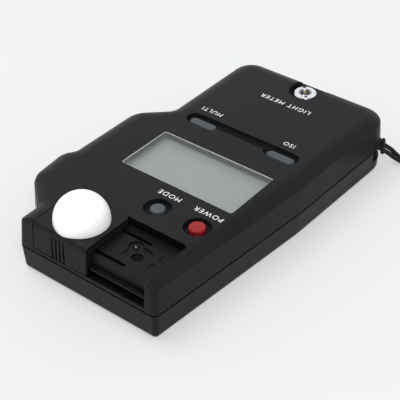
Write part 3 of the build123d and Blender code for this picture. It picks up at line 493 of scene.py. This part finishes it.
def make_knot():
    """The overhand knot that joins the two strands."""
    line = []
    for i in range(120):
        t = 2 * math.pi * i / 120
        line.append(KNOT + Vector((
            math.sin(t) + 2 * math.sin(2 * t),
            math.cos(t) - 2 * math.cos(2 * t),
            -1.05 * math.sin(3 * t),
        )) * 0.44 * MM)
    bm = bmesh.new()
    braided(bm, line, 0.62 * MM, closed=True)
    knot = piece("strap_knot_tied", bm, yarn_mat)
    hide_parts("strap_knot")
    return knot


def make_hitch():
    """Two wraps round the post, the strands that leave them, and the loop that closes over these."""
    bm = bmesh.new()
    wrap_r = 1.67
    for z in (7.5, 9.0):
        wrap = []
        for k in range(48):
            t = 2 * math.pi * k / 48
            wrap.append(from_post(wrap_r * math.cos(t), wrap_r * math.sin(t), z))
        braided(bm, wrap, 0.74 * MM, closed=True)
    for side, z in ((1, 9.0), (-1, 7.5)):
        end = 6.5 + side * 0.7
        lead = [from_post(0.2, side * wrap_r, z), from_post(1.6, side * 1.4, z - 0.65),
                from_post(2.7, side * 0.8, end), strand_start(side)]
        braided(bm, centreline("lead", lead), CORD_R)
    loop = []
    for k in range(64):
        t = 2 * math.pi * k / 64
        loop.append(from_post(2.95 + 0.25 * math.cos(t), 1.35 * math.cos(t), 6.6 + 2.2 * math.sin(t)))
    braided(bm, loop, 0.68 * MM, closed=True)
    hitch = piece("strap_hitch_tied", bm, yarn_mat)
    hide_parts("strap_hitch")


def make_tie():
    """A flat rubber band round the coil's turns."""
    bm = bmesh.new()
    rings = []
    corners = 40
    half_width, thick = 0.9, 0.16
    for k in range(corners):
        t = 2 * math.pi * k / corners
        flat = 1.0 / (abs(math.cos(t)) ** 5 + abs(math.sin(t)) ** 5) ** 0.2
        ring = []
        for out, wide in ((0.0, -half_width), (thick, -half_width), (thick, half_width), (0.0, half_width)):
            across = COIL_R + (1.56 + out) * flat * math.cos(t)
            z = 2.76 + (2.36 + out) * flat * math.sin(t)
            ring.append(bm.verts.new(coil_place(across, TIE_ANGLE + wide / COIL_R, z)))
        rings.append(ring)
    facet(rings, bm)
    return piece("strap_tie", bm, rubber_mat, smooth=False)


knot = make_knot()
make_hitch()
tie = make_tie()


# ------------------------------------------------------------------ printed labels
FACE_Z = 19.3            # height of the printed face


def label(name, text, x, y, height):
    """Small printed letters, a thin layer of paint on the face."""
    data = bpy.data.curves.new(name, "FONT")
    data.body = text
    data.size = height * 1.38 * MM
    data.align_x = "CENTER"
    data.align_y = "CENTER"
    data.extrude = 0.012 * MM
    data.space_character = 1.22
    source = bpy.data.objects.new(name + "_source", data)
    scene.collection.objects.link(source)
    bpy.context.view_layer.update()
    depsgraph = bpy.context.evaluated_depsgraph_get()
    mesh = bpy.data.meshes.new_from_object(source.evaluated_get(depsgraph))
    bpy.data.objects.remove(source)
    bm = bmesh.new()
    bm.from_mesh(mesh)
    bpy.data.meshes.remove(mesh)
    bmesh.ops.remove_doubles(bm, verts=bm.verts, dist=1e-7)
    for vert in bm.verts:
        vert.co += Vector((x * MM, y * MM, (FACE_Z + 0.014) * MM))
    piece(name, bm, print_mat, smooth=False)


print_mat = moulded("printed_white", (0.62, 0.63, 0.63), (0.72, 0.73, 0.73), 0.55,
                    depth=0.000005, spec=0.3)
label("label_multi", "MULTI", 10.3, -20.1, 1.75)
label("label_iso", "ISO", -19.5, -19.8, 1.75)
label("label_mode", "MODE", -7.3, 21.7, 1.85)
label("label_power", "POWER", -21.4, 21.7, 1.85)
label("label_kind", "LIGHT METER", -5.3, -37.7, 1.9)


def make_window_edge_highlight():
    """The rim of the display window: a thin upright band just inside its opening, pale and glossy, a painted
    highlight for the bright line that the window's edge catches.
    """
    centre = Vector((-0.0056, 0.0075))
    bm = bmesh.new()
    rings = []
    foot, top = 18.98, 19.27
    for inset, z in ((0.04, foot), (0.04, top), (0.16, top), (0.16, foot)):
        half_w, half_h, corner = 20.6 - inset, 10.2 - inset, 0.9 - inset
        ring = []
        for sx, sy, start in ((1, 1, 0), (-1, 1, 90), (-1, -1, 180), (1, -1, 270)):
            for k in range(7):
                angle = math.radians(start + 15 * k)
                ring.append(bm.verts.new((
                    centre.x + (sx * (half_w - corner) + corner * math.cos(angle)) * MM,
                    centre.y + (sy * (half_h - corner) + corner * math.sin(angle)) * MM,
                    z * MM,
                )))
        rings.append(ring)
    facet(rings, bm)
    # pale grey gloss: a painted highlight along the window's edge
    rim_highlight_mat = moulded_gloss("window_rim_painted_highlight", (0.50, 0.51, 0.50), (0.62, 0.63, 0.62), 0.16)
    piece("window_rim_painted_highlight", bm, rim_highlight_mat, smooth=False)


make_window_edge_highlight()


def shade_strip(name, x0, x1, y0, y1, z0, z1):
    """A thin black strip, painted shade put where the recess walls and the gap under the deck fall dark, its
    free surface slightly uneven.
    """
    bm = bmesh.new()
    along, up = 90, 6
    uneven_depth = 0.02
    wide = (y1 - y0) > (z1 - z0)
    sheets = []
    for face in (0, 1):
        rows = []
        for i in range(up + 1):
            row = []
            for j in range(along + 1):
                u, v = j / along, i / up
                ripple = math.sin(37.0 * u * along / 7 + 2.1 * i) * math.cos(11.0 * v + 0.7 * j)
                wave = face * uneven_depth * (0.5 + 0.5 * ripple)
                if wide:
                    at = (x0 + (x1 - x0) * u, y0 + (y1 - y0) * v, (z1 - wave) if face else z0)
                else:
                    at = (x0 + (x1 - x0) * u, (y1 - wave) if face else y0, z0 + (z1 - z0) * v)
                row.append(bm.verts.new(tuple(c * MM for c in at)))
            rows.append(row)
        sheets.append(rows)
    for rows in sheets:
        for a, b in zip(rows, rows[1:]):
            for j in range(along):
                bm.faces.new((a[j], a[j + 1], b[j + 1], b[j]))
    back, front = sheets
    rims = [(back[0], front[0]), (back[-1], front[-1]),
            ([r[0] for r in back], [r[0] for r in front]), ([r[-1] for r in back], [r[-1] for r in front])]
    for a, b in rims:
        for j in range(len(a) - 1):
            bm.faces.new((a[j], a[j + 1], b[j + 1], b[j]))
    piece(name, bm, shade_sheet_mat)


def shade_sheet_material():
    """Matt black that gives back almost no light, with a fine fibre bump: painted shade for dark gaps and
    recess walls.
    """
    m = Mat("painted_shade_black", (0.0016, 0.0016, 0.0018), 0.95, spec=0.05)
    fibres = m.noise(14000.0, 3.0, 0.7)
    m.color(m.ramp(fibres, [(0.3, (0.0010, 0.0010, 0.0011)), (0.7, (0.0034, 0.0034, 0.0037))]))
    m.bump(fibres, 0.00005, 0.7)
    return m.mat


def parting_line_shade():
    """A thin black sheet on the back cover's rim: painted shade for the dark line between the covers."""
    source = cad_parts["back_cover"]
    rim_z = 8.52 * MM    # the flat rim, just below the parting line
    bm = bmesh.new()
    seen = {}
    for face in source.data.polygons:
        corners = [source.matrix_world @ source.data.vertices[i].co for i in face.vertices]
        if all(abs(c.z - rim_z) < 0.004 * MM for c in corners):
            verts = []
            for c in corners:
                key = tuple(round(v, 7) for v in c)
                if key not in seen:
                    seen[key] = bm.verts.new((c.x, c.y, rim_z + 0.01 * MM))
                verts.append(seen[key])
            if len(set(verts)) == len(verts):
                bm.faces.new(verts)
    made = bmesh.ops.extrude_face_region(bm, geom=bm.faces[:])
    for vert in (g for g in made["geom"] if isinstance(g, bmesh.types.BMVert)):
        vert.co.z += 0.04 * MM
    # the extrusion lists its elements in no fixed order, so they are put in one
    for elements, key in (
        (bm.verts, lambda vert: tuple(vert.co)),
        (bm.edges, lambda edge: tuple(edge.verts[0].co + edge.verts[1].co)),
        (bm.faces, lambda face: sorted(tuple(vert.co) for vert in face.verts)),
    ):
        for rank, element in enumerate(sorted(elements, key=key)):
            element.index = rank
        elements.sort()
    piece("parting_line_shade", bm, shade_sheet_mat, smooth=False)


# painted shade: one near-black material for every sheet that darkens a gap or a wall
shade_sheet_mat = shade_sheet_material()
# painted shade: a black sheet in the parting line between the covers
parting_line_shade()
# painted shade: black strips on the recess's rear wall and in the gap under the deck front
shade_strip("shade_strip_rear", -24.2, 14.2, 36.01, 36.10, 16.55, 19.05)
shade_strip("shade_strip_lip", -25.4, 15.3, 52.95, 54.45, 10.01, 10.12)
shade_strip("shade_strip_riser", -25.4, 15.3, 51.81, 51.90, 9.3, 12.05)

# ------------------------------------------------------------------ materials of the frame's own pieces
LOOKS = {
    "front_cover": case_mat, "back_cover": case_mat, "battery_door": case_mat, "dome_carriage": case_mat,
    "lcd_window": window_mat, "lcd_panel": display_mat, "lcd_holder": frame_mat,
    "zebra_strip_tail": rubber_mat, "zebra_strip_head": rubber_mat,
    "main_board": board_mat, "side_board": board_mat, "sensor_board": board_mat,
    "processor": chip_mat, "amplifier": chip_mat, "power_capacitor": can_mat,
    "mode_switch": chip_mat, "power_switch": chip_mat, "multi_switch": chip_mat, "iso_switch": chip_mat,
    "up_switch": chip_mat, "down_switch": chip_mat, "measuring_switch": chip_mat,
    "mode_button": grey_key_mat, "multi_button": grey_key_mat, "iso_button": grey_key_mat,
    "power_button": red_key_mat, "set_button_up": button_mat, "set_button_down": button_mat,
    "measuring_button": button_mat, "sensor_deck": deck_mat, "sensor_window": sensor_glass_mat,
    "photodiode": chip_mat, "detent_ball": dark_steel_mat, "detent_spring": steel_mat,
    "diffuser_dome": dome_mat, "dome_retainer": steel_mat, "sync_terminal": plated_mat,
    "sync_insulator": frame_mat, "sync_contact": brass_mat, "sync_nut": brass_mat,
    "sync_lead_centre": lead_red_mat, "sync_lead_shell": lead_black_mat, "battery_cell": cell_mat,
    "battery_spring": steel_mat, "battery_plate": steel_mat, "battery_lead_plus": lead_red_mat,
    "battery_lead_minus": lead_black_mat, "case_screws": steel_mat, "board_screws": steel_mat,
    "deck_screws": steel_mat, "strap_post": chip_mat,
}
for node, look in LOOKS.items():
    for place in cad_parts[node].material_slots:
        place.material = look

# ------------------------------------------------------------------ stage and light
def make_floor():
    """A wide sheet of pale paper."""
    mesh = bpy.data.meshes.new("floor")
    half = 3.0
    corners = [(-half, -half, 0), (half, -half, 0), (half, half, 0), (-half, half, 0)]
    mesh.from_pydata(corners, [], [(0, 1, 2, 3)])
    floor = bpy.data.objects.new("floor", mesh)
    scene.collection.objects.link(floor)
    m = Mat("floor_paper", (0.5, 0.505, 0.51), 0.75, spec=0.1)
    m.color(m.ramp(m.noise(3.0, 2.0), [(0.3, (0.370, 0.375, 0.375)), (0.7, (0.384, 0.389, 0.389))]))
    m.set("Emission Color", (0.985, 1.0, 0.99, 1.0))
    m.set("Emission Strength", 0.402)
    mesh.materials.append(m.mat)


def area(name, at, aim, size, power):
    """A square soft light that looks at a point."""
    data = bpy.data.lights.new(name, "AREA")
    data.shape = "SQUARE"
    data.size = size
    data.energy = power
    lamp = bpy.data.objects.new(name, data)
    scene.collection.objects.link(lamp)
    lamp.location = at
    lamp.rotation_mode = "QUATERNION"
    lamp.rotation_quaternion = (Vector(aim) - Vector(at)).to_track_quat("-Z", "Y")


def make_light():
    """A pale studio sky, brightest below and about the horizon, and two soft lights."""
    world = bpy.data.worlds.new("studio")
    world.use_nodes = True
    tree = world.node_tree
    sky = tree.nodes["Background"]
    place = tree.nodes.new(COORD)
    split = tree.nodes.new("ShaderNodeSeparateXYZ")
    ramp = tree.nodes.new("ShaderNodeValToRGB")
    tree.links.new(place.outputs["Generated"], split.inputs[0])
    tree.links.new(split.outputs["Z"], ramp.inputs["Fac"])
    tree.links.new(ramp.outputs["Color"], sky.inputs["Color"])
    stops = ramp.color_ramp.elements
    for at, level in ((0.0, 0.80), (0.45, 1.0), (0.68, 0.90), (0.86, 0.50)):
        stop = stops[0] if at == 0.0 else stops.new(at)
        stop.color = (level * 0.985, level, level * 1.02, 1.0)
    stops[len(stops) - 1].color = (0.45, 0.45, 0.46, 1.0)
    sky.inputs["Strength"].default_value = 1.0
    scene.world = world
    aim = (0, 0, 0.01)
    area("key", (0.25, 0.05, 0.80), aim, 0.5, 3.0)
    area("crown", (-0.44, 0.38, 0.72), aim, 0.26, 2.4)


make_floor()
make_light()
